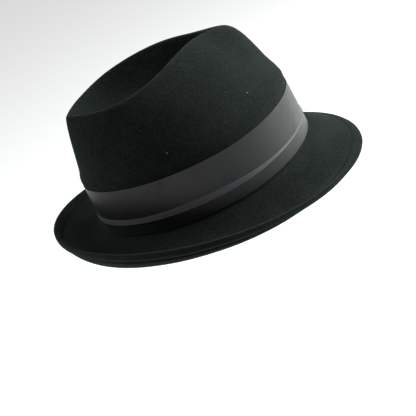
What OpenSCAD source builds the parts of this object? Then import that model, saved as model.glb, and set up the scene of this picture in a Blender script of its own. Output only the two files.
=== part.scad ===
// Wool felt fedora with a teardrop crown, a wide ribbon with a flat side bow,
// a folded brim edge, and a sweatband and lining inside.
// Millimetres. +Z is up through the crown, -Y is the front, +X is the wearer's left.
// The origin is the middle of the head opening, level with the foot of the crown.

/* [Crown] */
// Length of the crown outside, front to back, at its foot
crown_len = 205.6; // [190:0.2:225]
// Width of the crown outside, side to side, at its foot
crown_wid = 167.8; // [152:0.2:185]
// Roundness of the crown's plan: 2 is an ellipse, lower is more pointed
crown_roundness = 1.86; // [1.8:0.02:2.2]
// How far the crown leans in at the front, up to the top of the ribbon
lean_front = 4.5; // [1:0.1:8]
// How far the crown leans in at each side, up to the top of the ribbon
lean_side = 3.3; // [1:0.1:7]
// How far the crown leans in at the back, up to the top of the ribbon
lean_back = 0.2; // [0:0.1:5]
// Mean height of the crease's rim
crown_h = 111.6; // [100:0.1:125]
// Rise of the rim's crest ahead of the middle
rim_hump = 2.6; // [0:0.1:5]

/* [Crease] */
// Front point of the teardrop, ahead of the middle
crease_front = 57.4; // [45:0.2:66]
// Rear end of the teardrop, behind the middle
crease_back = 89.5; // [80:0.2:92]
// Fullness of the teardrop across its rear half
crease_full = 58.4; // [45:0.2:66]
// Depth of the dent below the rim
crease_depth = 27; // [15:0.5:32]
// Radius given to the rim's edge
rim_round = 4; // [2:0.25:6]
// Length of the flat peak ahead of the teardrop
peak_len = 23; // [14:0.5:28]
// Depth of the two front pinches
pinch_depth = 5; // [0:0.25:8]

/* [Felt and brim] */
// Thickness of the felt
felt_t = 2.2; // [1.6:0.1:2.8]
// Width of the brim at the front, measured level
brim_front = 38.8; // [30:0.2:60]
// Width of the brim at each side, measured level
brim_side = 39.2; // [30:0.2:60]
// Width of the brim at the back, measured level
brim_back = 39.2; // [30:0.2:60]
// Height of the brim's edge at the front
edge_front = -26.5; // [-36:0.5:-10]
// Height of the brim's edge at each side
edge_side = -11.2; // [-18:0.2:0]
// Height of the brim's edge at the back
edge_back = 14; // [0:0.5:20]
// Downward slope where the brim leaves the front of the crown
fall_front = 30; // [5:1:40]
// Downward slope where the brim leaves each side of the crown
fall_side = 39; // [15:1:44]
// Downward slope where the brim leaves the back of the crown
fall_back = 38; // [15:1:44]
// Upward slope of the brim's edge at the front, negative where it snaps down
curl_front = -32; // [-50:1:0]
// Upward slope of the brim's edge at each side
curl_side = 62; // [20:1:70]
// Upward slope of the brim's edge at the back
curl_back = 82; // [20:1:85]
// Thickness of the folded edge
fold_t = 3.2; // [2.8:0.1:4.2]

/* [Ribbon and bow] */
// Width of the ribbon
ribbon_w = 44; // [25:0.5:50]
// Thickness of the ribbon
ribbon_t = 0.9; // [0.5:0.1:1.4]
// Length of the bow from loop end to loop end
bow_len = 78; // [60:1:96]
// How far the bow sits behind the middle of the side
bow_back = 6; // [-10:1:14]
// Height of the bow where the loops end
bow_h = 42; // [24:1:46]
// Height of the bow at its knot
knot_h = 35; // [18:1:40]
// Width of the knot
knot_w = 15; // [9:0.5:20]
// How far the tails show past each loop
tail_show = 6; // [0:0.5:12]

/* [Inside] */
// Height of the leather sweatband
sweat_h = 38; // [28:0.5:42]
// Thickness of the leather
sweat_t = 1.0; // [0.7:0.1:1.5]
// Diameter of the reed in the sweatband's lower edge
reed_d = 2.0; // [1.4:0.1:2.6]
// Thickness of the tape that holds the reed
tape_t = 0.3; // [0.2:0.05:0.5]
// Thickness of the lining
lining_t = 0.5; // [0.3:0.05:0.7]
// Height of the lining's flat tip above the head opening
tip_h = 76; // [60:0.5:78]

/* [Hidden] */

felt_color = [0.045, 0.05, 0.05];
ribbon_color = [0.09, 0.095, 0.1];
leather_color = [0.13, 0.09, 0.07];
lining_color = [0.16, 0.16, 0.18];

// Clearance between pieces that lie against each other
seat = 0.3;
// Columns of points round the hat, and the angle between them; 0 is the front
columns = 64;
turn = 360 / columns;

// --- Plan and height helpers -------------------------------------------------

function unit(v) = v / norm(v);

function signed_pow(v, e) = sign(v) * pow(abs(v), e);

function mix(a, b, k) = a + (b - a) * k;

// A value with the given sizes at the front, the sides and the back
function round_hat(t, front, side, back) =
    ((front + back) / 2 + side) / 2 + (front - back) / 2 * cos(t)
    + ((front + back) / 2 - side) / 2 * cos(2 * t);

// A point of the crown's oval, with t from the front towards the wearer's left
function oval(t, front, back, half_w) =
    let (e = 2 / crown_roundness)
    [half_w * signed_pow(sin(t), e), -(cos(t) > 0 ? front : back) * signed_pow(cos(t), e)];

// The felt's outer wall from its foot to the ribbon's top, moved out by gap
function wall_plan(t, z, gap) =
    let (k = z / ribbon_w)
    oval(t, crown_len / 2 - lean_front * k + gap, crown_len / 2 - lean_back * k + gap,
         crown_wid / 2 - lean_side * k + gap);

function wall_point(t, z, gap) =
    let (p = wall_plan(t, z, gap))
    [p[0], p[1], z];

// --- The felt's upper surface ------------------------------------------------

brim_foot = -seat;

// Pull of the section's two ends, as a share of the straight width
section_pull = 1.7;

function edge_point(t) =
    let (w = round_hat(t, brim_front, brim_side, brim_back))
    [(crown_wid / 2 + w) * sin(t), -(crown_len / 2 + w) * cos(t),
     round_hat(t, edge_front, edge_side, edge_back)];

// The brim falls from the crown and curls to its edge along one smooth section
function brim_point(t, u) =
    let (foot = wall_plan(t, brim_foot, 0),
         edge = edge_point(t),
         out = [edge[0] - foot[0], edge[1] - foot[1]],
         width = norm(out),
         rise = edge[2] - brim_foot,
         pull = section_pull * norm([width, rise]),
         fall = round_hat(t, fall_front, fall_side, fall_back),
         curl = round_hat(t, curl_front, curl_side, curl_back),
         leave = u * u * u - 2 * u * u + u,
         arrive = u * u * u - u * u,
         travel = 3 * u * u - 2 * u * u * u,
         level = leave * pull * cos(fall) + travel * width + arrive * pull * cos(curl),
         drop = travel * rise - leave * pull * sin(fall) + arrive * pull * sin(curl))
    [foot[0] + out[0] * level / width, foot[1] + out[1] * level / width, brim_foot + drop];

// The rim of the teardrop crease
rim_tilt = 2.1;
rim_point_round = 1.85;
rim_point_skew = 1.2;

function rim_point(t) =
    let (s = abs(sin(t)),
         half = crease_full * pow(s, rim_point_round) * pow(abs(sin(t / 2)), rim_point_skew))
    [sign(sin(t)) * half,
     (crease_back - crease_front) / 2 - (crease_front + crease_back) / 2 * cos(t),
     crown_h + rim_tilt * cos(t) - (rim_tilt + 0.4) * cos(2 * t) - rim_hump * cos(3 * t)];

// How much a place belongs to the front: 1 at the front, 0 at the back
function frontness(t) = pow((1 + cos(t)) / 2, 5);

// The shoulder stands outside the rim, well out at the front and close at the back
shoulder_side = 3;
shoulder_drop = 2.5;
peak_rise = -2.2;

function shoulder_point(t) =
    let (rim = rim_point(t),
         foot = wall_plan(t, ribbon_w, 0),
         out = [foot[0] - rim[0], foot[1] - rim[1]],
         reach = mix(shoulder_side, peak_len, frontness(t)),
         level = rim + [out[0], out[1], 0] * reach / norm(out))
    [level[0], level[1], rim[2] - mix(shoulder_drop, peak_rise, frontness(t))];

// The front pinches press in the shoulder on both sides of the peak
pinch_at = 38;
pinch_spread = 17;
pinch_up = 0.72;
pinch_tall = 0.3;

function bell(v) = exp(-v * v);

function pinch(t, v) =
    let (side = acos(cos(t)))
    pinch_depth * bell((v - pinch_up) / pinch_tall) * bell((side - pinch_at) / pinch_spread);

// The crown's wall above the ribbon, v from 0 at the ribbon to 1 at the rim
shoulder_pull = 0.82;
side_pull = 0.38;
side_run = 17;
back_run = 6;
belly = 10;

// The felt swells over the ribbon's upper edge
swell = 0.8;
swell_rise = 2;

function crown_point(t, v) =
    let (foot = wall_point(t, ribbon_w + swell_rise, swell),
         shoulder = shoulder_point(t),
         rim = rim_point(t),
         front = frontness(t),
         bulge = belly * pow(sin(t), 4) / norm([foot[0], foot[1]]),
         low = mix(foot, shoulder, mix(side_pull, shoulder_pull, front)) + [foot[0], foot[1], 0] * bulge,
         run = round_hat(t, side_run, side_run, back_run),
         high = rim + unit(shoulder - rim) * mix(run, peak_len * shoulder_pull, front),
         w = 1 - v,
         p = w * w * w * foot + 3 * w * w * v * low + 3 * w * v * v * high + v * v * v * rim,
         inward = -[p[0], p[1]] / norm([p[0], p[1]]) * pinch(t, v))
    [p[0] + inward[0], p[1] + inward[1], p[2]];

// The dent falls from the rim to a spine along its floor
spine_front = 16;
spine_back = 62;
spine_half = 8;
dent_round = 2.1;
dent_front_share = 0.72;

function spine_point(t) =
    [spine_half * sin(t), (spine_back - spine_front) / 2 - (spine_front + spine_back) / 2 * cos(t),
     crown_h - crease_depth * mix(1, dent_front_share, frontness(t))];

function dent_point(t, u) =
    let (rim = rim_point(t),
         spine = spine_point(t),
         level = mix(rim, spine, u))
    [level[0], level[1], rim[2] + (spine[2] - rim[2]) * (1 - pow(1 - u, dent_round))];

// The rim's edge is a smooth turn between the wall and the dent
function turn_share(t) = rim_round / norm(crown_point(t, 0.8) - rim_point(t)) * 0.2;

function rim_turn(t, k) =
    let (wall = crown_point(t, 1 - turn_share(t)),
         dent_run = norm(rim_point(t) - spine_point(t)),
         dent = dent_point(t, min(0.25, 0.6 * rim_round / dent_run)),
         rim = rim_point(t))
    (1 - k) * (1 - k) * wall + 2 * k * (1 - k) * rim + k * k * dent;

// Rows of the upper surface, from the spine out to the brim's edge
DENT = 0;
RIM = 1;
CROWN = 2;
WALL = 3;
BRIM = 4;
rows = [[DENT, 1], [DENT, 0.82], [DENT, 0.62], [DENT, 0.42], [DENT, 0.24],
        [RIM, 1], [RIM, 0.66], [RIM, 0.33], [RIM, 0],
        [CROWN, 0.84], [CROWN, 0.72], [CROWN, 0.6], [CROWN, 0.46], [CROWN, 0.3], [CROWN, 0.15],
        [CROWN, 0], [WALL, 1], [WALL, 0.16],
        [BRIM, 0], [BRIM, 0.12], [BRIM, 0.25], [BRIM, 0.38], [BRIM, 0.51], [BRIM, 0.64], [BRIM, 0.76],
        [BRIM, 0.86], [BRIM, 0.9], [BRIM, 0.95], [BRIM, 1]];

function upper(t, row) =
    row[0] == DENT ? dent_point(t, row[1]) :
    row[0] == RIM ? rim_turn(t, row[1]) :
    row[0] == CROWN ? crown_point(t, row[1]) :
    row[0] == WALL ? wall_point(t, row[1] * ribbon_w, 0) :
    brim_point(t, row[1]);

last_row = len(rows) - 1;
surface = [for (row = rows) [for (i = [0:columns - 1]) upper(i * turn, row)]];

// Outward normals of the upper surface, from each point's four neighbours
normals = [for (r = [0:last_row]) [for (i = [0:columns - 1])
    let (ahead = surface[r][(i + 1) % columns],
         behind = surface[r][(i + columns - 1) % columns],
         inner = surface[max(r - 1, 0)][i],
         outer = surface[min(r + 1, last_row)][i])
    unit(cross(outer - inner, ahead - behind))]];

function under(r, depth) = [for (i = [0:columns - 1]) surface[r][i] - normals[r][i] * depth];

// --- Closed meshes from rings ------------------------------------------------

// Joins rings of equal length, and closes both ends across their mirrored points
module skin_closed(rings, reverse = false) {
    n = len(rings[0]);
    last = len(rings) - 1;
    walls = [for (r = [0:last - 1], i = [0:n - 1])
        let (a = r * n + i, b = r * n + (i + 1) % n)
        each [[a, b, b + n], [a, b + n, a + n]]];
    start = [for (i = [0:n / 2 - 1])
        let (a = i, b = i + 1, c = (n - i - 1) % n, d = (n - i) % n)
        each [if (a != d) [a, d, c], if (b != c) [a, c, b]]];
    end = [for (f = start) [f[0], f[2], f[1]] + [1, 1, 1] * last * n];
    faces = concat(walls, start, end);
    polyhedron(points = [for (ring = rings) each ring],
               faces = reverse ? [for (f = faces) [f[0], f[2], f[1]]] : faces, convexity = 8);
}

// Joins a loop of rings, so the last ring meets the first
module skin_ring(rings, reverse = false) {
    n = len(rings[0]);
    m = len(rings);
    faces = [for (r = [0:m - 1], i = [0:n - 1])
        let (a = r * n + i, b = r * n + (i + 1) % n, c = (r + 1) % m * n + (i + 1) % n, d = (r + 1) % m * n + i)
        each [[a, b, c], [a, c, d]]];
    polyhedron(points = [for (ring = rings) each ring],
               faces = reverse ? [for (f = faces) [f[0], f[2], f[1]]] : faces, convexity = 8);
}

// --- Felt --------------------------------------------------------------------

// The brim's last three rows are the folded edge, with a stitched groove at its inner side
groove_row = last_row - 2;
groove_depth = 0.3;

function felt_depth(r) =
    r > groove_row ? fold_t : r == groove_row ? felt_t - groove_depth : felt_t;

edge_steps = [30, 90, 150];

function edge_ring(a) = [for (i = [0:columns - 1])
    let (top = surface[last_row][i],
         down = normals[last_row][i] * fold_t / 2,
         out = unit(surface[last_row][i] - surface[last_row - 1][i]) * fold_t / 2)
    top - down + down * cos(a) + out * sin(a)];

module felt_body() {
    color(felt_color)
    skin_closed(concat(
        surface,
        [for (a = edge_steps) edge_ring(a)],
        [for (r = [last_row:-1:0]) under(r, felt_depth(r))]));
}

// --- Ribbon round the crown --------------------------------------------------

function wall_ring(z, gap) = [for (i = [0:columns - 1]) wall_point(i * turn, z, gap) + [0, 0, seat]];

module hat_band() {
    near = seat;
    far = seat + ribbon_t;
    color(ribbon_color)
    skin_ring([wall_ring(0, near), wall_ring(0, far), wall_ring(ribbon_w, far), wall_ring(ribbon_w, near)],
              reverse = true);
}

// --- Bow on the wearer's left ------------------------------------------------

bow_t = ribbon_t * 0.8;
bow_z = ribbon_w / 2 + seat;
tail_lift = seat;
loop_lift = tail_lift + bow_t + seat;
loop_puff = 2.4;
loop_gap = 0.35;

// A point on the ribbon's left side: y along it, z up it, and lift off its face
function side_point(y, z, lift) =
    let (k = (z - seat) / ribbon_w,
         half_len = crown_len / 2 - (y < 0 ? lean_front : lean_back) * k,
         half_wid = crown_wid / 2 - lean_side * k,
         n = crown_roundness,
         x = half_wid * pow(1 - pow(abs(y) / half_len, n), 1 / n))
    [x + seat + ribbon_t + lift, y, z];

// How far a place along the bow is from the knot's side (0) to the loop's end (1)
function past_knot(along) =
    min(1, max(0, abs(along) - knot_w / 2) / (bow_len / 2 - knot_w / 2));

// Half height of the bow at a place along it
function bow_half(y) =
    mix(knot_h - 2 * (bow_t + seat), bow_h, 1 - pow(1 - past_knot(y - bow_back), 2)) / 2;

// The loops are one ribbon, folded at both ends and joined behind the knot
loop_steps = 6;
loop_foot = 5;

function loop_rise(along) = bow_t + loop_gap + loop_puff * (1 - pow(1 - past_knot(along), 2));

// One loop's middle line, from its inner end round to the middle of the bow
function half_loop() =
    let (r = loop_rise(bow_len) / 2,
         end = bow_len / 2 - bow_t / 2 - r,
         low = loop_lift + bow_t / 2)
    concat([[loop_foot, low]],
           [for (i = [0:loop_steps]) [mix(knot_w / 2, end, i / loop_steps), low]],
           [for (a = [-54:36:54]) [end + r * cos(a), low + r + r * sin(a)]],
           [for (i = [loop_steps:-1:0]) let (y = mix(knot_w / 2, end, i / loop_steps)) [y, low + loop_rise(y)]],
           [[0, low + loop_rise(0)]]);

half_path = half_loop();
loop_path = concat(half_path, [for (i = [len(half_path) - 2:-1:0]) [-half_path[i][0], half_path[i][1]]]);

function loop_normal(i) =
    let (d = loop_path[min(i + 1, len(loop_path) - 1)] - loop_path[max(i - 1, 0)])
    [-d[1], d[0]] / norm(d) * bow_t / 2;

loop_outline = concat([for (i = [0:len(loop_path) - 1]) loop_path[i] - loop_normal(i)],
                      [for (i = [len(loop_path) - 1:-1:0]) loop_path[i] + loop_normal(i)]);

module bow_loops() {
    color(ribbon_color)
    skin_closed([for (s = [-1, -0.5, 0, 0.5, 1])
        [for (q = loop_outline)
            let (y = bow_back + q[0])
            side_point(y, bow_z + s * bow_half(y), q[1])]]);
}

// The tails are one flat ribbon under the loops, with slanted ends
tail_slant = 5;
tail_steps = 12;

module bow_tails() {
    half_len = bow_len / 2 + tail_show;
    color(ribbon_color)
    skin_closed([for (i = [0:tail_steps])
        [for (c = [[-1, 0], [1, 0], [1, bow_t], [-1, bow_t]])
            let (k = 2 * i / tail_steps - 1,
                 y = bow_back + k * (half_len - tail_slant * (1 - c[0]) / 2),
                 half = bow_half(y) - seat)
            side_point(y, bow_z + c[0] * half, tail_lift + c[1])]], reverse = true);
}

// The knot wraps the middle of the bow and tucks in above and below it
knot_lift = loop_lift + 2 * bow_t + loop_gap + seat;

function knot_path(half, low, high) =
    [[-half, low], [-half, high], [-half * 0.5, high + 0.4], [half * 0.5, high + 0.4], [half, high], [half, low]];

module bow_knot() {
    inner_half = knot_h / 2 - bow_t;
    inside = knot_path(inner_half, seat, knot_lift);
    outside = knot_path(knot_h / 2, seat, knot_lift + bow_t);
    outline = concat(inside, [for (i = [len(outside) - 1:-1:0]) outside[i]]);
    color(ribbon_color)
    skin_closed([for (k = [-1, -0.4, 0.4, 1])
        [for (q = outline) side_point(bow_back + k * knot_w / 2, bow_z + q[0], q[1])]], reverse = true);
}

// --- Sweatband, reed and tape ------------------------------------------------

// Depths below the felt's outer face
lining_out = felt_t + seat;
lining_in = lining_out + lining_t;
sweat_out = lining_in + seat + tape_t;
sweat_in = sweat_out + sweat_t;
reed_in = (sweat_out + sweat_in) / 2;
tape_gap = 0.1;
reed_z = reed_d / 2;
sweat_z = reed_z + reed_d / 2 + tape_gap;

function inner_ring(z, depth) = [for (i = [0:columns - 1]) wall_point(i * turn, z, -depth)];

module sweatband() {
    top = sweat_z + sweat_h;
    color(leather_color)
    skin_ring([inner_ring(sweat_z, sweat_out), inner_ring(top, sweat_out), inner_ring(top, sweat_in),
               inner_ring(sweat_z, sweat_in)], reverse = true);
}

reed_sides = 8;

module sweatband_reed() {
    color([0.75, 0.75, 0.72])
    skin_ring([for (k = [0:reed_sides - 1])
        let (a = k * 360 / reed_sides)
        inner_ring(reed_z + reed_d / 2 * sin(a), reed_in + reed_d / 2 * cos(a))]);
}

// The tape passes under the reed and lies behind the sweatband
tape_leg = 5;

module reed_tape() {
    inner = reed_d / 2 + tape_gap;
    outer = inner + tape_t;
    bend = [for (a = [180:-45:0]) a];
    color(leather_color * 0.8)
    skin_ring(concat(
        [inner_ring(reed_z + tape_leg, reed_in - outer + tape_t), inner_ring(reed_z + tape_leg, reed_in - outer)],
        [for (a = bend) inner_ring(reed_z - outer * sin(a), reed_in + outer * cos(a))],
        [for (i = [len(bend) - 1:-1:0]) inner_ring(reed_z - inner * sin(bend[i]), reed_in + inner * cos(bend[i]))]));
}

// The sweatband's ends meet at the back under a strip of ribbon and a small bow
seam_w = 10;
seam_t = 0.5;
seam_foot = 4;

// A point on the sweatband's inner face at the back: x across, z up, lift off it
function back_point(x, z, lift) =
    let (k = z / ribbon_w,
         n = crown_roundness,
         half_len = crown_len / 2 - lean_back * k - sweat_in,
         half_wid = crown_wid / 2 - lean_side * k - sweat_in,
         y = half_len * pow(1 - pow(abs(x) / half_wid, n), 1 / n))
    [x, y - lift, z];

module seam_ribbon() {
    color(ribbon_color)
    skin_closed([for (x = [-1, -0.5, 0, 0.5, 1] * seam_w / 2)
        [for (c = [[0, 0], [1, 0], [1, 1], [0, 1]])
            back_point(x, sweat_z + seam_foot + c[0] * (sweat_h - 2 * seam_foot), seat + c[1] * seam_t)]],
        reverse = true);
}

small_bow_w = 22;
small_bow_h = 9;
small_bow_t = 1.6;
small_knot_t = 2;
small_end_t = 0.7;
small_bow_lift = 2 * seat + seam_t;

module seam_bow() {
    z = sweat_z + seam_foot + small_bow_h;
    color(ribbon_color)
    skin_closed([for (k = [-1, -0.8, -0.45, -0.2, 0, 0.2, 0.45, 0.8, 1])
        let (x = k * small_bow_w / 2,
             tall = small_bow_h / 2 * (0.35 + 0.65 * pow(abs(k), 0.7)),
             thick = abs(k) > 0.9 ? small_end_t : abs(k) > 0.3 ? small_bow_t : small_knot_t)
        [for (c = [[-1, 0], [1, 0], [1, 1], [-1, 1]])
            back_point(x, z + c[0] * tall, small_bow_lift + c[1] * thick)]], reverse = true);
}

// --- Lining ------------------------------------------------------------------

tip_front = 72;
tip_back = 76;
tip_side = 47;

function tip_ring(scale, z) = [for (i = [0:columns - 1])
    let (p = oval(i * turn, tip_front * scale, tip_back * scale, tip_side * scale))
    [p[0], p[1], z]];

// Rows of the felt that the lining follows before it turns in to its tip
lining_rows = [17, 16, 15, 14, 13];

function mix_rings(a, b, k) = [for (i = [0:columns - 1]) mix(a[i], b[i], k)];

function lining_face(depth, tip_z, tip_grow) =
    let (high = under(lining_rows[len(lining_rows) - 1], depth),
         tip = tip_ring(1 + tip_grow / tip_side, tip_z),
         corner = [for (i = [0:columns - 1]) [mix(high[i][0], tip[i][0], 0.55), mix(high[i][1], tip[i][1], 0.55), tip_z]])
    concat([for (r = lining_rows) under(r, depth)],
           [for (k = [0.35, 0.65]) [for (i = [0:columns - 1])
               (1 - k) * (1 - k) * high[i] + 2 * k * (1 - k) * corner[i] + k * k * tip[i]]],
           [tip]);

module lining_side() {
    outside = lining_face(lining_out, tip_h, 0);
    inside = lining_face(lining_in, tip_h - lining_t, 0);
    color(lining_color)
    skin_ring(concat(outside, [for (r = [len(inside) - 1:-1:0]) inside[r]]), reverse = true);
}

module lining_tip() {
    edge = 1 - seat / tip_side;
    color(lining_color)
    skin_closed([tip_ring(0.02, tip_h), tip_ring(edge, tip_h), tip_ring(edge, tip_h - lining_t),
                 tip_ring(0.02, tip_h - lining_t)]);
}

felt_body();
hat_band();
bow_loops();
bow_tails();
bow_knot();
sweatband();
sweatband_reed();
reed_tape();
seam_ribbon();
seam_bow();
lining_side();
lining_tip();
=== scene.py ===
import math

import bmesh
import bpy
import numpy as np
from bpy.props import FloatProperty, FloatVectorProperty, IntProperty, PointerProperty
from mathutils import Matrix, Vector, noise


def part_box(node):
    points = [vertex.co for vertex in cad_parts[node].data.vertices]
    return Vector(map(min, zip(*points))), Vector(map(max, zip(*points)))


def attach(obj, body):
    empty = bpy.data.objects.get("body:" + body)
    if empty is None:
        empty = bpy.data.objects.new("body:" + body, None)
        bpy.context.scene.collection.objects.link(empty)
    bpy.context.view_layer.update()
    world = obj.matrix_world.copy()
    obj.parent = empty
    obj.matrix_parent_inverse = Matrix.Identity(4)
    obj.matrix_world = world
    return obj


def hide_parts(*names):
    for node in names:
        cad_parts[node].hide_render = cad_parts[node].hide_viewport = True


bl_info = {
    "name": "Felt fedora",
    "version": (1, 0, 0),
    "blender": (4, 5, 0),
    "location": "3D View > Sidebar > Fedora",
    "description": "Builds a felt fedora with its ribbon, bow, sweatband and lining",
    "category": "Add Mesh",
}

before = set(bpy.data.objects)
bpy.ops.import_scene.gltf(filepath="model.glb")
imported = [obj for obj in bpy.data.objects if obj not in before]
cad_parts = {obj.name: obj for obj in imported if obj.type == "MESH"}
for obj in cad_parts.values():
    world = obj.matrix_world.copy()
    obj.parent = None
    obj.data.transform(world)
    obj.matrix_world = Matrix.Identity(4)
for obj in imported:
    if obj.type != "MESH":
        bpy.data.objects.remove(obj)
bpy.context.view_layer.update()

MM = 0.001
MERGE = 2e-6
RING_POINTS = 64


# --- Reading the frame -------------------------------------------------------


def crossing(near, column, old, closed):
    """The column of points next to a column, found from the faces that the two share."""
    rest = [((near[a] & near[b]) - old).pop() for a, b in zip(column, column[1:])]
    if closed:
        first = ((near[column[-1]] & near[column[0]]) - old).pop()
    else:
        first = ((near[column[0]] & near[rest[0]]) - set(column)).pop()
    return [first] + rest


def read_rings(node):
    """A node's points as rings, each from the front round by the wearer's left."""
    bm = bmesh.new()
    bm.from_mesh(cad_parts[node].data)
    bmesh.ops.remove_doubles(bm, verts=bm.verts, dist=MERGE)
    near = {v: {e.other_vert(v) for e in v.link_edges} for v in bm.verts}
    front = {v for v in bm.verts if abs(v.co.x) < MERGE and v.co.y < 0}
    ends = [v for v in front if len(near[v] & front) == 1]
    chain = [max(ends or front, key=lambda v: v.co.z)]
    while near[chain[-1]] & front - set(chain):
        chain.append(max(near[chain[-1]] & front - set(chain), key=lambda v: v.co.z))
    right = {v for v in bm.verts if v.co.x < -MERGE}
    tries = [chain] if ends else [chain, chain[:1] + chain[:0:-1]]

    def reach(column):
        beside = crossing(near, column, right, not ends)
        return sum((a.co - b.co).length for a, b in zip(column, beside))

    columns, old = [min(tries, key=reach)], right
    while len(columns) < RING_POINTS:
        columns.append(crossing(near, columns[-1], old, not ends))
        old = set(columns[-2])
    rings = np.array([[v.co[:] for v in column] for column in columns]).transpose(1, 0, 2)
    bm.free()
    return rings


def around(rings, count):
    """The rings with count points each, on smooth closed curves through their own points."""
    n = rings.shape[1]
    wave = np.cos(2 * np.pi * np.fft.fftfreq(n))
    control = np.real(np.fft.ifft(np.fft.fft(rings, axis=1) / ((4 + 2 * wave) / 6)[None, :, None], axis=1))
    place = np.arange(count) * n / count
    k, w = place.astype(int), place % 1
    shares = ((1 - w) ** 3, 3 * w**3 - 6 * w**2 + 4, 1 + 3 * w + 3 * w**2 - 3 * w**3, w**3)
    return sum(s[None, :, None] / 6 * control[:, (k + j - 1) % n] for j, s in enumerate(shares))


def along(rows, steps):
    """More rows between the rows, steps[i] to row i + 1, on smooth curves through them."""
    gap = np.linalg.norm(np.diff(rows, axis=0), axis=2, keepdims=True) + 1e-9
    slope = np.diff(rows, axis=0) / gap
    tangent = np.concatenate([slope[:1], slope[:-1] * gap[1:] + slope[1:] * gap[:-1], slope[-1:]])
    tangent[1:-1] /= gap[:-1] + gap[1:]
    out = []
    for i, count in enumerate(steps):
        for w in np.arange(count) / count:
            out.append(
                (2 * w**3 - 3 * w**2 + 1) * rows[i]
                + (w**3 - 2 * w**2 + w) * gap[i] * tangent[i]
                + (3 * w**2 - 2 * w**3) * rows[i + 1]
                + (w**3 - w**2) * gap[i] * tangent[i + 1]
            )
    return np.array(out + [rows[-1]])


def outward(rows):
    """The unit normals of a grid of rows, which run from the crown's top down and out."""
    across = np.roll(rows, -1, axis=1) - np.roll(rows, 1, axis=1)
    down = np.gradient(rows, axis=0)
    cross = np.cross(down, across)
    return cross / (np.linalg.norm(cross, axis=2, keepdims=True) + 1e-12)


def reach_from(rows, start):
    """How far each point lies from its column's point in the start row, along the surface."""
    step = np.linalg.norm(np.diff(rows, axis=0), axis=2)
    run = np.concatenate([np.zeros((1, rows.shape[1])), np.cumsum(step, axis=0)])
    return np.abs(run - run[start])


def bell(x):
    return np.exp(-x * x)


# --- Making and finishing pieces ---------------------------------------------


def only(obj):
    """Leaves this object selected and active, and nothing else selected."""
    bpy.ops.object.select_all(action="DESELECT")
    obj.select_set(True)
    bpy.context.view_layer.objects.active = obj


def ring_piece(name, rows, closed=False, capped=False):
    """A mesh from rows of points round the hat, with a UV map of turns and rows."""
    count, n = rows.shape[:2]
    last = count if closed else count - 1
    faces = [
        (r * n + i, (r + 1) % count * n + i, (r + 1) % count * n + (i + 1) % n, r * n + (i + 1) % n)
        for r in range(last)
        for i in range(n)
    ]
    strips = [(i, i + 1, (n - i - 1) % n, (n - i) % n) for i in range(n // 2)]
    uv = [((i + a) / n, (r + b) / count) for r in range(last) for i in range(n) for a, b in CORNERS]
    if capped:
        for base, strip in [(0, s) for s in strips] + [((count - 1) * n, s[::-1]) for s in strips]:
            faces.append(tuple(base + v for v in dict.fromkeys(strip)))
            uv += [(v / n, base / n / count) for v in dict.fromkeys(strip)]
    mesh = bpy.data.meshes.new(name)
    mesh.from_pydata(rows.reshape(-1, 3).tolist(), [], faces)
    mesh.uv_layers.new(name="UVMap").data.foreach_set("uv", np.array(uv, float).ravel())
    obj = bpy.data.objects.new(name, mesh)
    bpy.context.scene.collection.objects.link(obj)
    only(obj)
    bpy.ops.object.mode_set(mode="EDIT")
    bpy.ops.mesh.select_all(action="SELECT")
    bpy.ops.mesh.normals_make_consistent(inside=False)
    bpy.ops.object.mode_set(mode="OBJECT")
    return obj


CORNERS = ((0, 0), (0, 1), (1, 1), (1, 0))


def strip_piece(name, columns, rows, place, joined=False):
    """A flat grid laid where place(u, v) says; joined welds its two ends into a band."""
    bpy.ops.object.select_all(action="DESELECT")
    bpy.ops.mesh.primitive_grid_add(x_subdivisions=columns, y_subdivisions=rows, size=1)
    obj = bpy.context.object
    obj.name = name
    for v in obj.data.vertices:
        v.co = place(v.co.x + 0.5, v.co.y + 0.5)
    if joined:
        bpy.ops.object.mode_set(mode="EDIT")
        bpy.ops.mesh.select_all(action="SELECT")
        bpy.ops.mesh.remove_doubles(threshold=MERGE)
        bpy.ops.object.mode_set(mode="OBJECT")
    return obj


def thicken(obj, thickness, side):
    """Gives a strip its thickness, to the given side of it, and applies it."""
    only(obj)
    wall = obj.modifiers.new("Thickness", "SOLIDIFY")
    wall.thickness = thickness
    wall.offset = side
    wall.use_even_offset = True
    bpy.ops.object.modifier_apply(modifier=wall.name)


def dress(obj, material, slot, *nodes, sharp=40):
    """Smooths a finished piece, gives it its material, hangs it from the root body and hides the nodes it
    stands in for.
    """
    only(obj)
    bpy.ops.object.shade_smooth_by_angle(angle=math.radians(sharp))
    obj.data.materials.clear()
    obj.data.materials.append(material)
    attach(obj, "root")
    if nodes:
        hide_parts(*nodes)
    return obj


def stitches(name, places, length, width):
    """One sewn stitch, copied to each place: a point, the thread's run and the way up."""
    bpy.ops.object.select_all(action="DESELECT")
    bpy.ops.mesh.primitive_uv_sphere_add(segments=6, ring_count=5, radius=0.5)
    one = bpy.context.object
    shape = [Vector((v.co.x * width, v.co.y * width, v.co.z * length)) for v in one.data.vertices]
    faces = [tuple(p.vertices) for p in one.data.polygons]
    bpy.data.objects.remove(one)
    points, sides = [], []
    for point, run, up in places:
        run = Vector(run).normalized()
        beside = Vector(up).cross(run).normalized()
        turn = Matrix((beside, run.cross(beside), run)).transposed()
        sides += [tuple(len(points) + k for k in f) for f in faces]
        points += [Vector(point) + turn @ p for p in shape]
    mesh = bpy.data.meshes.new(name)
    mesh.from_pydata(points, [], sides)
    obj = bpy.data.objects.new(name, mesh)
    bpy.context.scene.collection.objects.link(obj)
    return obj


# --- Materials ---------------------------------------------------------------


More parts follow.
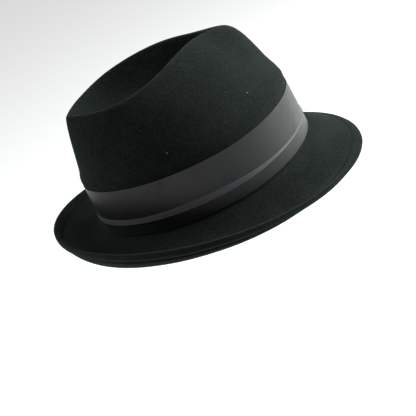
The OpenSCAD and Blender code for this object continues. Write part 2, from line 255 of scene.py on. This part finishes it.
class Nodes:
    """Adds nodes to a tree from left to right, and links them by their names."""

    def __init__(self, tree):
        self.tree = tree

    def add(self, kind, settings=None, **inputs):
        node = self.tree.nodes.new(kind)
        node.location.x = 180 * len(self.tree.nodes)
        for key, value in (settings or {}).items():
            setattr(node, key, value)
        for key, value in inputs.items():
            self.put(node, key.replace("_", " "), value)
        return node

    def put(self, node, key, value):
        socket = node.inputs[int(key)] if key.isdigit() else node.inputs[key]
        if isinstance(value, bpy.types.NodeSocket):
            self.tree.links.new(value, socket)
        else:
            socket.default_value = value

    def math(self, kind, a, b=0.0, clamp=False):
        node = self.add("ShaderNodeMath", {"operation": kind, "use_clamp": clamp})
        self.put(node, "0", a)
        self.put(node, "1", b)
        return node.outputs[0]

    def spread(self, value, low, high, to_low=0.0, to_high=1.0):
        node = self.add("ShaderNodeMapRange", {"interpolation_type": "SMOOTHSTEP"})
        for key, part in zip("01234", (value, low, high, to_low, to_high)):
            self.put(node, key, part)
        return node.outputs[0]

    def blend(self, share, a, b, kind="MIX"):
        node = self.add("ShaderNodeMix", {"data_type": "RGBA", "blend_type": kind})
        for key, part in (("0", share), ("6", a), ("7", b)):
            self.put(node, key, part)
        return node.outputs[2]

    def noise(self, vector, scale, detail=2.0, rough=0.5):
        node = self.add("ShaderNodeTexNoise", Vector=vector, Scale=scale, Detail=detail, Roughness=rough)
        return node.outputs[0]


def new_group(name, inputs, outputs):
    """A shader group with the named inputs and outputs, and a helper to fill it."""
    tree = bpy.data.node_groups.new(name, "ShaderNodeTree")
    kinds = {"value": "NodeSocketFloat", "colour": "NodeSocketColor", "vector": "NodeSocketVector"}
    for key, kind in inputs:
        tree.interface.new_socket(key, in_out="INPUT", socket_type=kinds[kind])
    for key, kind in outputs:
        tree.interface.new_socket(key, in_out="OUTPUT", socket_type=kinds[kind])
    return tree, Nodes(tree)


def felt_group():
    """Brushed felt: mottled dye, short fibres lying all ways, and pale specks of lint."""
    tree, n = new_group(
        "Brushed felt",
        [("Dye", "colour"), ("Worn", "colour"), ("Fibre", "value"), ("Lint", "value")],
        [("Colour", "colour"), ("Height", "value")],
    )
    given = n.add("NodeGroupInput").outputs
    place = n.add("ShaderNodeTexCoord").outputs["Object"]
    patches = n.noise(place, 45.0, 3.0)
    mottle = n.noise(place, 420.0, 2.5, 0.6)
    fluff = n.noise(place, 1300.0, 2.0, 0.65)
    cells = n.add("ShaderNodeTexVoronoi", {"feature": "F1"}, Vector=place, Scale=given["Fibre"])
    specks = n.add("ShaderNodeTexVoronoi", {"feature": "F1"}, Vector=place, Scale=150.0)
    chance = n.add("ShaderNodeSeparateColor", Color=specks.outputs["Color"]).outputs[0]
    lint = n.math("MULTIPLY", n.spread(specks.outputs["Distance"], 0.1, 0.04), n.spread(chance, 0.93, 0.95))
    lint = n.math("MULTIPLY", lint, given["Lint"])
    tone = n.math("MULTIPLY", n.spread(mottle, 0.35, 0.7), n.spread(fluff, 0.3, 0.75))
    tone = n.math("ADD", tone, n.math("MULTIPLY", n.spread(patches, 0.35, 0.7), 0.25), clamp=True)
    colour = n.blend(tone, given["Dye"], given["Worn"])
    colour = n.blend(lint, colour, (0.5, 0.52, 0.5, 1.0))
    height = n.math("ADD", n.math("MULTIPLY", fluff, 0.6), n.math("MULTIPLY", cells.outputs["Distance"], 0.4))
    height = n.math("ADD", height, n.math("MULTIPLY", mottle, 0.8))
    end = n.add("NodeGroupOutput")
    n.put(end, "Colour", colour)
    n.put(end, "Height", height)
    return tree


def weave_group():
    """Woven cloth on a piece's UV map: threads along and across it, and uneven yarn, with painted shade where
    the threads dip.
    """
    tree, n = new_group(
        "Woven threads",
        [("Thread", "colour"), ("Shade", "colour"), ("Along", "value"), ("Across", "value")]
        + [("Uneven", "value")],
        [("Colour", "colour"), ("Height", "value"), ("Gloss", "value")],
    )
    given = n.add("NodeGroupInput").outputs
    uv = n.add("ShaderNodeUVMap", {"uv_map": "UVMap"}).outputs[0]
    split = n.add("ShaderNodeSeparateXYZ", Vector=uv)
    waves = []
    for axis, count in (("X", given["Along"]), ("Y", given["Across"])):
        turn = n.math("MULTIPLY", n.math("MULTIPLY", split.outputs[axis], count), 2 * math.pi)
        waves.append(n.math("MULTIPLY_ADD", n.math("SINE", turn), 0.5))
        waves[-1].node.inputs[2].default_value = 0.5
    place = n.add("ShaderNodeTexCoord").outputs["Object"]
    yarn = n.noise(place, 260.0, 3.0, 0.6)
    cloud = n.noise(place, 28.0, 2.0)
    height = n.math("ADD", n.math("MULTIPLY", waves[0], 0.35), n.math("MULTIPLY", waves[1], 0.5))
    height = n.math("ADD", height, n.math("MULTIPLY", yarn, given["Uneven"]))
    # Painted shade: the colour darkens towards Shade where the weave's height is low; the cloud noise adds
    # tone that varies at random.
    tone = n.spread(n.math("ADD", n.math("MULTIPLY", height, 0.6), n.math("MULTIPLY", cloud, 0.4)), 0.2, 0.9)
    end = n.add("NodeGroupOutput")
    n.put(end, "Colour", n.blend(tone, given["Shade"], given["Thread"]))
    n.put(end, "Height", height)
    n.put(end, "Gloss", n.spread(n.math("ADD", yarn, cloud), 0.7, 1.3))
    return tree


def new_material(name, **sockets):
    """A material with a Principled shader set by its sockets' names, and its helper."""
    mat = bpy.data.materials.new(name)
    mat.use_nodes = True
    n = Nodes(mat.node_tree)
    shader = mat.node_tree.nodes["Principled BSDF"]
    for key, value in sockets.items():
        n.put(shader, key.replace("_", " "), value)
    return mat, n, shader


def bumped(n, shader, height, strength, distance):
    bump = n.add("ShaderNodeBump", Height=height, Strength=strength, Distance=distance)
    n.put(shader, "Normal", bump.outputs[0])


def place_group(n, name, make, **inputs):
    """Adds a shared group to a material, making it the first time."""
    tree = bpy.data.node_groups.get(name) or make()
    return n.add("ShaderNodeGroup", {"node_tree": tree}, **inputs).outputs


def rgba(colour, share=1.0):
    return (*(c * share for c in colour), 1.0)


def felt_material(felt):
    mat, n, shader = new_material(
        "Wool felt",
        Sheen_Weight=felt.sheen,
        Sheen_Roughness=0.45,
        Sheen_Tint=(0.75, 0.95, 0.88, 1.0),
        Specular_IOR_Level=0.12,
    )
    nap = place_group(
        n, "Brushed felt", felt_group,
        Dye=rgba(felt.colour, 0.6), Worn=rgba(felt.colour, 1.9), Fibre=2400.0, Lint=0.8,
    )
    n.put(shader, "Base Color", nap["Colour"])
    n.put(shader, "Roughness", n.spread(nap["Height"], 0.4, 1.4, 0.98, 0.85))
    bumped(n, shader, nap["Height"], 0.9, 0.0009)
    return mat


def cloth_material(name, colour, shade, along, across, rough, sheen=0.0, bump=0.00012):
    mat, n, shader = new_material(name, Sheen_Weight=sheen, Coat_Roughness=0.35)
    # shade is the share of the colour used for the painted shade in the weave's low parts.
    weave = place_group(
        n, "Woven threads", weave_group,
        Thread=rgba(colour), Shade=rgba(colour, shade), Along=along, Across=across, Uneven=0.5,
    )
    n.put(shader, "Base Color", weave["Colour"])
    n.put(shader, "Roughness", n.spread(weave["Gloss"], 0.0, 1.0, rough, rough + 0.12))
    bumped(n, shader, weave["Height"], 0.5, bump)
    return mat


def leather_material(inside):
    mat, n, shader = new_material("Sweatband leather", Coat_Weight=0.15, Coat_Roughness=0.4)
    place = n.add("ShaderNodeTexCoord").outputs["Object"]
    cells = n.add("ShaderNodeTexVoronoi", {"feature": "DISTANCE_TO_EDGE"}, Vector=place, Scale=900.0)
    grain = n.spread(cells.outputs["Distance"], 0.0, 0.25)
    patches = n.noise(place, 60.0, 4.0, 0.6)
    dark, light = rgba(inside.leather, 0.7), rgba(inside.leather, 1.35)
    n.put(shader, "Base Color", n.blend(n.math("MULTIPLY", n.spread(patches, 0.3, 0.7), grain), dark, light))
    n.put(shader, "Roughness", n.spread(n.math("MULTIPLY", grain, patches), 0.1, 0.6, 0.6, 0.42))
    bumped(n, shader, n.math("ADD", grain, n.math("MULTIPLY", patches, 0.5)), 0.5, 0.0002)
    return mat


def plain_material(name, colour, rough, scale=500.0, bump=0.0001):
    mat, n, shader = new_material(name)
    place = n.add("ShaderNodeTexCoord").outputs["Object"]
    grain = n.noise(place, scale, 3.0, 0.6)
    n.put(shader, "Base Color", n.blend(n.spread(grain, 0.3, 0.7), rgba(colour, 0.75), rgba(colour, 1.2)))
    n.put(shader, "Roughness", n.spread(grain, 0.3, 0.7, rough, rough + 0.1))
    bumped(n, shader, grain, 0.4, bump)
    return mat


# --- Settings ----------------------------------------------------------------


class FedoraFelt(bpy.types.PropertyGroup):
    columns: IntProperty(name="Columns", description="Points round the hat", default=320, min=64, max=400)
    fold_width: FloatProperty(
        name="Fold width", description="Width of the brim's folded edge", default=7.4 * MM, unit="LENGTH"
    )
    groove_depth: FloatProperty(
        name="Groove depth", description="Depth that the fold's stitches pull in",
        default=0.7 * MM, unit="LENGTH"
    )
    groove_width: FloatProperty(
        name="Groove width", description="Half width of the stitched groove",
        default=1.0 * MM, unit="LENGTH"
    )
    fold_puff: FloatProperty(
        name="Fold puff", description="How far the folded edge swells", default=0.45 * MM, unit="LENGTH"
    )
    unevenness: FloatProperty(
        name="Unevenness", description="Slow waves of hand-blocked felt", default=0.35 * MM, unit="LENGTH"
    )
    stitch: FloatProperty(
        name="Stitch", description="Length of a stitch on the fold",
        default=3.2 * MM, unit="LENGTH",
    )
    colour: FloatVectorProperty(
        name="Colour", description="Colour of the felt", default=(0.009, 0.0125, 0.0115), subtype="COLOR"
    )
    sheen: FloatProperty(name="Sheen", description="Soft glow of the nap", default=0.12, min=0, max=1)


class FedoraRibbon(bpy.types.PropertyGroup):
    thickness: FloatProperty(
        name="Thickness", description="Thickness of the crown's ribbon", default=0.9 * MM, unit="LENGTH"
    )
    bow_thickness: FloatProperty(
        name="Bow thickness", description="Thickness of the bow's ribbon", default=0.7 * MM, unit="LENGTH"
    )
    bow_gap: FloatProperty(
        name="Bow gap", description="Room between the bow's layers", default=0.32 * MM, unit="LENGTH"
    )
    bow_puff: FloatProperty(
        name="Bow puff", description="How far a loop opens at its end", default=2.4 * MM, unit="LENGTH"
    )
    tail_slant: FloatProperty(
        name="Tail slant", description="How far a tail's cut end slants", default=5 * MM, unit="LENGTH"
    )
    selvedge: FloatProperty(
        name="Selvedge", description="Width of the corded woven edge", default=0.8 * MM, unit="LENGTH"
    )
    colour: FloatVectorProperty(
        name="Colour", description="Colour of the satin", default=(0.008, 0.010, 0.009), subtype="COLOR"
    )


class FedoraInside(bpy.types.PropertyGroup):
    leather: FloatVectorProperty(
        name="Leather", description="Colour of the sweatband", default=(0.07, 0.045, 0.032), subtype="COLOR"
    )
    lining: FloatVectorProperty(
        name="Lining", description="Colour of the satin lining",
        default=(0.10, 0.10, 0.115), subtype="COLOR"
    )
    sewn_height: FloatProperty(
        name="Sewn height", description="Height of the stitches above the leather's foot",
        default=2.2 * MM, unit="LENGTH",
    )
    stitch: FloatProperty(
        name="Stitch", description="Distance between the sweatband's stitches", default=3 * MM, unit="LENGTH"
    )
    gather: FloatProperty(
        name="Gathers", description="Depth of the lining's soft folds", default=1.3 * MM, unit="LENGTH"
    )


class FedoraStage(bpy.types.PropertyGroup):
    azimuth: FloatProperty(
        name="Azimuth", description="Camera's place round the hat",
        default=math.radians(-107.673), unit="ROTATION"
    )
    elevation: FloatProperty(
        name="Elevation", description="Camera's height over the horizon",
        default=math.radians(25.856), unit="ROTATION"
    )
    roll: FloatProperty(
        name="Roll", description="Turn of the picture",
        default=math.radians(25.095), unit="ROTATION",
    )
    distance: FloatProperty(name="Distance", description="Camera's distance", default=0.9, unit="LENGTH")
    lens: FloatProperty(name="Lens", description="Focal length in millimetres", default=88.87)


# --- Felt --------------------------------------------------------------------

# How many fine rows lie between two rings of the frame
TOP_STEPS = [4] * 4 + [3] * 4 + [4] + [5] * 5 + [4] * 2 + [5, 6] + [5] * 7 + [7] * 3
EDGE_STEPS = [3, 4, 4, 3]
UNDER_STEPS = [6] * 3 + [3] * 7 + [4] + [3] * 17


def felt_rows(felt):
    """The felt's surface as fine rows: down the outside, over the edge and back inside."""
    rings = around(read_rings("felt_body"), felt.columns)
    edge = sum(TOP_STEPS)
    return along(rings, TOP_STEPS + EDGE_STEPS + UNDER_STEPS), edge, edge + sum(EDGE_STEPS)


def shape_felt(rows, edge, under, felt):
    """Adds what blocking and sewing leave: the stitched fold, its swell and slow waves."""
    normals = outward(rows)
    move = np.zeros(rows.shape[:2])
    for start, part in ((edge, slice(0, edge)), (under, slice(under, len(rows)))):
        s = reach_from(rows, start)[part]
        inside = np.clip(s / felt.fold_width, 0, 1)
        move[part] += felt.fold_puff * np.sin(np.pi * inside) ** 0.8 * (inside < 1)
        move[part] -= felt.groove_depth * bell((s - felt.fold_width) / felt.groove_width)
    free = np.clip((rows[..., 2] - 0.050) / 0.02, 0, 1) + np.clip(-(rows[..., 2] + 0.001) / 0.004, 0, 1)
    for (r, i), share in np.ndenumerate(np.clip(free, 0, 1)):
        if share:
            move[r, i] += share * felt.unevenness * noise.noise(Vector(rows[r, i]) * 28.0)
    return rows + normals * move[..., None], normals


class FEDORA_OT_felt(bpy.types.Operator):
    """Blocked felt crown and brim, with the folded edge sewn down"""

    bl_idname = "fedora.felt"
    bl_label = "Felt body"

    def execute(self, context):
        felt = context.scene.fedora_felt
        rows, edge, under = felt_rows(felt)
        rows, normals = shape_felt(rows, edge, under, felt)
        body = ring_piece("felt_crown_and_brim", rows, capped=True)
        dress(body, felt_material(felt), "felt", "felt_body", sharp=80)
        thread = plain_material("Felt thread", [c * 0.8 for c in felt.colour], 0.75, 2500.0)
        for name, start, inner in (("fold_stitches_top", edge, False), ("fold_stitches_under", under, True)):
            s = reach_from(rows, start)
            line = []
            for i in range(rows.shape[1]):
                r = range(under, len(rows)) if inner else range(edge, 0, -1)
                found = next(k for k in r if s[k, i] >= felt.fold_width)
                line.append((rows[found, i], normals[found, i]))
            sewn = stitches(name, stitch_line(line, felt.stitch), felt.stitch * 0.72, 0.7 * MM)
            dress(sewn, thread, "felt")
        return {"FINISHED"}


def stitch_line(line, length):
    """Evenly spaced places along a closed line of points and normals."""
    points = np.array([p for p, _ in line])
    ups = np.array([u for _, u in line])
    closed = np.vstack([points, points[:1]])
    run = np.concatenate([[0], np.cumsum(np.linalg.norm(np.diff(closed, axis=0), axis=1))])
    count = int(run[-1] / length)
    at = np.arange(count) * run[-1] / count
    mid = np.column_stack([np.interp(at, run, closed[:, k]) for k in range(3)])
    up = np.column_stack([np.interp(at, run[:-1], ups[:, k]) for k in range(3)])
    ahead = np.roll(mid, -1, axis=0) - np.roll(mid, 1, axis=0)
    return [(m + u * 0.1 * MM, a, u) for m, u, a in zip(mid, up, ahead)]


# --- Ribbon and bow ----------------------------------------------------------


def band_rings(node, count):
    """A band's lower and upper outer rings and its lower and upper inner rings."""
    rings = around(read_rings(node), count)
    size = np.linalg.norm(rings[..., :2], axis=2).mean(axis=1)
    height = rings[..., 2].mean(axis=1)
    low = height < height.mean()
    outer = [rings[max(np.flatnonzero(which), key=lambda k: size[k])] for which in (low, ~low)]
    inner = [rings[min(np.flatnonzero(which), key=lambda k: size[k])] for which in (low, ~low)]
    return (*outer, *inner)


BAND_COLUMNS = 384


def on_band(rings, u, v):
    """A point of a band's face: u in turns from the front, v from its lower edge up."""
    n = len(rings[0])
    k = u * n
    i, w = int(k) % n, k % 1
    low = rings[0][i] * (1 - w) + rings[0][(i + 1) % n] * w
    high = rings[1][i] * (1 - w) + rings[1][(i + 1) % n] * w
    return Vector(low * (1 - v) + high * v)


class FEDORA_OT_ribbon(bpy.types.Operator):
    """Satin ribbon round the crown, with corded selvedges and a few soft puckers"""

    bl_idname = "fedora.ribbon"
    bl_label = "Ribbon"

    def execute(self, context):
        ribbon = context.scene.fedora_ribbon
        outer_low, outer_high, _, _ = band_rings("hat_band", BAND_COLUMNS)
        width = outer_high[0][2] - outer_low[0][2]

        def place(u, v):
            point = on_band((outer_low, outer_high), u, v)
            edge = min(v, 1 - v) * width / ribbon.selvedge
            out = Vector((point.x, point.y, 0)).normalized()
            wave = noise.noise(Vector((10 * point.x, 10 * point.y, 6 * point.z)) + Vector((3, 1, 7)))
            away = 0.16 * MM * wave * math.sin(math.pi * v) - 0.15 * MM
            if edge < 1:
                away += 0.13 * MM * math.sin(math.pi * edge)
            return point + out * away

        band = strip_piece("crown_ribbon", BAND_COLUMNS, 60, place, joined=True)
        thicken(band, ribbon.thickness * 0.8, -1)
        dress(band, satin(ribbon, "Ribbon satin", 1400.0, 110.0), "ribbon", "hat_band")
        length = np.linalg.norm(outer_low - np.roll(outer_low, 1, axis=0), axis=1).sum()
        return {"FINISHED"}


def satin(ribbon, name, along_count, across_count):
    """Black satin: long floating threads that shine along the ribbon."""
    return cloth_material(name, ribbon.colour, 0.8, along_count, across_count, 0.33, sheen=0.05, bump=0.00005)


def face_of(low, high, run):
    """Places on one side of the wall between two rings, from a place along axis run, a height and a lift."""
    out = 1 - run

    def place(along_it, z, lift):
        share = (z - low[0][2]) / (high[0][2] - low[0][2])
        ring = low * (1 - share) + high * share
        ring = ring[ring[:, out] > 0]
        ring = ring[np.argsort(ring[:, run])]
        point = [0, 0, z]
        point[run] = along_it
        point[out] = np.interp(along_it, ring[:, run], ring[:, out]) + lift
        return Vector(point)

    return place


class Bow:
    """The side bow's sizes, from the frame's boxes."""

    def __init__(self, ribbon):
        low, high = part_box("bow_loops")
        knot_low, knot_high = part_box("bow_knot")
        self.middle, self.z = (low.y + high.y) / 2, (low.z + high.z) / 2
        self.half, self.tall = (high.y - low.y) / 2, (high.z - low.z) / 2
        self.knot, self.knot_tall = (knot_high.y - knot_low.y) / 2, (knot_high.z - knot_low.z) / 2
        self.t = ribbon.bow_thickness
        self.gap = ribbon.bow_gap
        self.puff = ribbon.bow_puff
        outer_low, outer_high, _, _ = band_rings("hat_band", BAND_COLUMNS)
        self.place = face_of(outer_low, outer_high, 1)

    def past(self, y):
        return min(1, max(0, (abs(y) - self.knot) / (self.half - self.knot)))

    def half_height(self, y):
        near = self.knot_tall - self.t - self.gap
        return near + (self.tall - near) * (1 - (1 - self.past(y)) ** 2)

    def line(self):
        """The loops' middle line as places along the bow and lifts, from one inner end to the other."""
        low = 2 * self.gap + 1.5 * self.t
        rise = [self.t + self.gap + self.puff * (1 - (1 - self.past(y)) ** 2) for y in (self.half, 0)]
        r = rise[0] / 2
        end = self.half - self.t / 2 - r
        lower = [(y, low) for y in np.linspace(5 * MM, end, 16)]
        fold = [(end + r * math.cos(a), low + r + r * math.sin(a)) for a in np.linspace(-1.4, 1.4, 13)]
        span = self.t + self.gap
        upper = [
            (y, low + span + self.puff * (1 - (1 - self.past(y)) ** 2)) for y in np.linspace(end, 0, 22)
        ]
        half = np.array(lower + fold + upper)
        return np.vstack([half, half[-2::-1] * [-1, 1]])


def steady(line, u):
    """The place a share u along a line, by its length."""
    run = np.concatenate([[0], np.cumsum(np.linalg.norm(np.diff(line, axis=0), axis=1))])
    return np.interp(u * run[-1], run, line[:, 0]), np.interp(u * run[-1], run, line[:, 1])


class FEDORA_OT_bow(bpy.types.Operator):
    """Flat side bow: two folded loops on slanted tails, held by a pleated knot"""

    bl_idname = "fedora.bow"
    bl_label = "Bow"

    def execute(self, context):
        ribbon = context.scene.fedora_ribbon
        bow = Bow(ribbon)
        silk = satin(ribbon, "Bow satin", 300.0, 110.0)
        line = bow.line()

        def loop(u, v):
            y, lift = steady(line, u)
            past = bow.past(y)
            pleat = 0.12 * MM * (1 - past) ** 2 * math.cos(6 * math.pi * v)
            return bow.place(bow.middle + y, bow.z + (2 * v - 1) * bow.half_height(y), lift + pleat)

        loops = strip_piece("bow_folded_loops", 180, 24, loop)
        thicken(loops, bow.t, 0)
        dress(loops, silk, "ribbon", "bow_loops")

        low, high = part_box("bow_tails")
        slant, reach = ribbon.tail_slant, (high.y - low.y) / 2

        def tail(u, v):
            y = (2 * u - 1) * (reach - slant * (1 - v))
            height = bow.half_height(y) - bow.gap
            return bow.place(bow.middle + y, bow.z + (2 * v - 1) * height, bow.gap + bow.t / 2)

        tails = strip_piece("bow_slanted_tails", 120, 24, tail)
        thicken(tails, bow.t, 0)
        dress(tails, silk, "ribbon", "bow_tails")

        top, foot = 4 * bow.gap + 3.5 * bow.t, bow.gap + bow.t / 2
        side = bow.knot_tall - bow.t / 2
        crest = top + 0.4 * MM
        half_wrap = [(side, foot), (side, top), (side * 0.8, crest)]
        wrap = np.array([(-z, lift) for z, lift in half_wrap] + half_wrap[::-1])

        def knot(u, v):
            z, lift = steady(wrap, u)
            fold = 0.3 * MM * abs(math.sin(3 * math.pi * v)) * (abs(z) < side)
            return bow.place(bow.middle + (2 * v - 1) * bow.knot, bow.z + z, lift + fold)

        knotted = strip_piece("bow_pleated_knot", 90, 24, knot)
        thicken(knotted, bow.t, 0)
        dress(knotted, silk, "ribbon", "bow_knot")
        return {"FINISHED"}


# --- Inside ------------------------------------------------------------------


def wrapped_rows(node, count, steps):
    """A closed section's rings as fine rows, with the first ring met again at the end."""
    rings = around(read_rings(node), count)
    rows = along(np.concatenate([rings, rings[:1]]), [steps] * len(rings))
    return rows[:-1]


class FEDORA_OT_sweatband(bpy.types.Operator):
    """Leather sweatband, with its reed in a stitched tape and a ribbon over the seam"""

    bl_idname = "fedora.sweatband"
    bl_label = "Sweatband"

    def execute(self, context):
        inside, ribbon = context.scene.fedora_inside, context.scene.fedora_ribbon
        outer_low, outer_high, inner_low, inner_high = band_rings("sweatband", 256)
        corners = (inner_low, inner_high, outer_high, outer_low)
        rows = [
            a * (1 - k) + b * k
            for a, b in zip(corners, corners[1:] + corners[:1])
            for k in (0.0, 0.02, 0.5, 0.98)
        ]
        band = ring_piece("leather_sweatband", np.array(rows), closed=True)
        dress(band, leather_material(inside), "sweatband", "sweatband")

        sewn_line = inner_low + np.array([0, 0, inside.sewn_height])
        face = [(p, Vector((-p[0], -p[1], 0)).normalized()) for p in sewn_line]
        thread = plain_material("Sweatband thread", (0.03, 0.022, 0.018), 0.6, 2500.0)
        places = stitch_line(face, inside.stitch)
        dress(stitches("sweatband_stitches", places, 2.2 * MM, 0.5 * MM), thread, "sweatband")

        tape = ring_piece("folded_reed_tape", wrapped_rows("reed_tape", 192, 2), closed=True)
        twill = cloth_material("Tape twill", (0.03, 0.024, 0.02), 0.6, 900.0, 40.0, 0.8)
        dress(tape, twill, "tape", "reed_tape")
        reed = ring_piece("round_reed", wrapped_rows("sweatband_reed", 192, 2), closed=True)
        dress(reed, plain_material("Reed plastic", (0.6, 0.6, 0.56), 0.35), "reed", "sweatband_reed")

        back = face_of(inner_low, inner_high, 0)
        silk = satin(ribbon, "Seam satin", 40.0, 60.0)
        low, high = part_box("seam_ribbon")
        strip = strip_piece(
            "seam_cover_ribbon", 16, 40,
            lambda u, v: back(low.x + (high.x - low.x) * u, low.z + (high.z - low.z) * v, -0.55 * MM),
        )
        thicken(strip, 0.5 * MM, 0)
        dress(strip, silk, "seam_trim", "seam_ribbon")
        foot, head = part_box("seam_bow")
        middle, half, reach = (foot.z + head.z) / 2, (head.z - foot.z) / 2, (head.x - foot.x) / 2

        def small(u, v):
            k = abs(2 * u - 1)
            tall = half * (0.35 + 0.65 * k**0.7)
            puff = 0.5 * MM * math.sin(math.pi * k) + 0.25 * MM * math.cos(2 * math.pi * v) * (1 - k)
            return back((2 * u - 1) * reach, middle + (2 * v - 1) * tall, -1.9 * MM - puff)

        tied = strip_piece("seam_tied_bow", 60, 16, small)
        thicken(tied, 1.2 * MM, 0)
        dress(tied, silk, "seam_trim", "seam_bow")
        return {"FINISHED"}


class FEDORA_OT_lining(bpy.types.Operator):
    """Satin lining, softly gathered round the side, with an oval tip"""

    bl_idname = "fedora.lining"
    bl_label = "Lining"

    def execute(self, context):
        inside = context.scene.fedora_inside
        rows = wrapped_rows("lining_side", 320, 4)
        height = rows[..., 2]
        low, high = height.min() + 38 * MM, height.max() - 4 * MM
        free = np.clip((height - low) / (10 * MM), 0, 1) * np.clip((high - height) / (8 * MM), 0, 1)
        turns = np.arange(rows.shape[1]) / rows.shape[1]
        fold = np.sin(2 * np.pi * 44 * turns + 1.5 * np.sin(2 * np.pi * 7 * turns)) * 0.5 + 0.5
        inward = -rows * [1, 1, 0]
        inward /= np.linalg.norm(inward, axis=2, keepdims=True)
        rows = rows + inward * (inside.gather * free * fold[None])[..., None]
        cloth = cloth_material("Lining satin", inside.lining, 0.7, 1600.0, 200.0, 0.38)
        side = ring_piece("gathered_lining", rows, closed=True)
        dress(side, cloth, "lining", "lining_side")
        rings = around(read_rings("lining_tip"), 128)
        tip = ring_piece("oval_lining_tip", along(rings, [10, 1, 10]), capped=True)
        dress(tip, cloth, "lining", "lining_tip")
        return {"FINISHED"}


# --- Stage -------------------------------------------------------------------


def area_light(name, place, target, size, power, colour):
    light = bpy.data.lights.new(name, "AREA")
    light.shape = "RECTANGLE"
    light.size, light.size_y = size
    light.energy = power
    light.color = colour
    obj = bpy.data.objects.new(name, light)
    obj.location = place
    obj.rotation_euler = (Vector(target) - Vector(place)).to_track_quat("-Z", "Y").to_euler()
    bpy.context.scene.collection.objects.link(obj)


class FEDORA_OT_stage(bpy.types.Operator):
    """Pale floor, soft studio lights and the camera"""

    bl_idname = "fedora.stage"
    bl_label = "Stage"

    def execute(self, context):
        stage = context.scene.fedora_stage
        a, e, r = stage.azimuth, stage.elevation, stage.roll
        back = Vector((math.sin(a) * math.cos(e), -math.cos(a) * math.cos(e), math.sin(e)))
        right = (-back).cross(Vector((0, 0, 1))).normalized()
        up = right.cross(-back)
        across = math.cos(r) * right - math.sin(r) * up
        upward = math.sin(r) * right + math.cos(r) * up
        camera = bpy.data.objects.new("Camera", bpy.data.cameras.new("Camera"))
        camera.data.lens = stage.lens
        camera.data.clip_start = 0.01
        place = Vector((0, 0, 0.03)) + back * stage.distance + across * 0.013415 - upward * 0.058461
        turn = Matrix((across, upward, back)).transposed().to_4x4()
        camera.matrix_world = Matrix.Translation(place) @ turn
        context.scene.collection.objects.link(camera)
        context.scene.camera = camera

        bpy.ops.object.select_all(action="DESELECT")
        bpy.ops.mesh.primitive_plane_add(size=14, location=(0, 0, -0.32))
        floor = context.object
        floor.name = "floor"
        mat, n, shader = new_material("Pale floor", Base_Color=(0.8, 0.8, 0.8, 1.0), Roughness=0.9)
        seen = n.add("ShaderNodeLightPath").outputs
        bent = n.math("MAXIMUM", seen["Is Glossy Ray"], seen["Is Transmission Ray"])
        shown = n.math("MAXIMUM", seen["Is Camera Ray"], bent)
        n.put(shader, "Emission Color", (1.0, 1.0, 1.0, 1.0))
        n.put(shader, "Emission Strength", n.math("MULTIPLY", shown, 0.55))
        floor.data.materials.append(mat)

        middle = (0, 0, 0.04)
        front, rear = right * 1.3 + Vector((0.25, 0, 0.55)), Vector((0.35, 0, 0.7)) - right * 1.3
        area_light("Front softbox", tuple(front), middle, (1.2, 1.2), 30, (0.94, 1, 0.98))
        area_light("Back softbox", tuple(rear), middle, (0.8, 0.8), 7, (0.95, 1, 1))
        area_light("Top softbox", (0.1, 0, 1.5), middle, (1.2, 1.2), 6, (1, 1, 1))
        world = bpy.data.worlds.new("Studio")
        world.use_nodes = True
        w = Nodes(world.node_tree)
        ground = world.node_tree.nodes["Background"]
        seen = w.add("ShaderNodeLightPath").outputs
        shown = w.math("MAXIMUM", seen["Is Camera Ray"], seen["Is Transmission Ray"])
        w.put(ground, "Color", (1.0, 1.0, 1.0, 1.0))
        w.put(ground, "Strength", w.spread(shown, 0.0, 1.0, 0.12, 1.0))
        context.scene.world = world
        context.scene.view_settings.view_transform = "Standard"
        return {"FINISHED"}


# --- Panel and registration --------------------------------------------------


class FEDORA_PT_panel(bpy.types.Panel):
    """Lists the hat's pieces in the order they are made"""

    bl_label = "Fedora"
    bl_space_type = "VIEW_3D"
    bl_region_type = "UI"
    bl_category = "Fedora"

    def draw(self, context):
        for operator in OPERATORS:
            self.layout.operator(operator.bl_idname)


OPERATORS = (
    FEDORA_OT_felt, FEDORA_OT_ribbon, FEDORA_OT_bow, FEDORA_OT_sweatband, FEDORA_OT_lining, FEDORA_OT_stage
)
SETTINGS = {
    "fedora_felt": FedoraFelt,
    "fedora_ribbon": FedoraRibbon,
    "fedora_inside": FedoraInside,
    "fedora_stage": FedoraStage,
}


def register():
    for cls in (*SETTINGS.values(), *OPERATORS, FEDORA_PT_panel):
        bpy.utils.register_class(cls)
    for name, cls in SETTINGS.items():
        setattr(bpy.types.Scene, name, PointerProperty(type=cls))


def unregister():
    for name in SETTINGS:
        delattr(bpy.types.Scene, name)
    for cls in (FEDORA_PT_panel, *reversed(OPERATORS), *SETTINGS.values()):
        bpy.utils.unregister_class(cls)


def main():
    register()
    for operator in OPERATORS:
        group, name = operator.bl_idname.split(".")
        getattr(getattr(bpy.ops, group), name)()


if __name__ == "__main__":
    main()
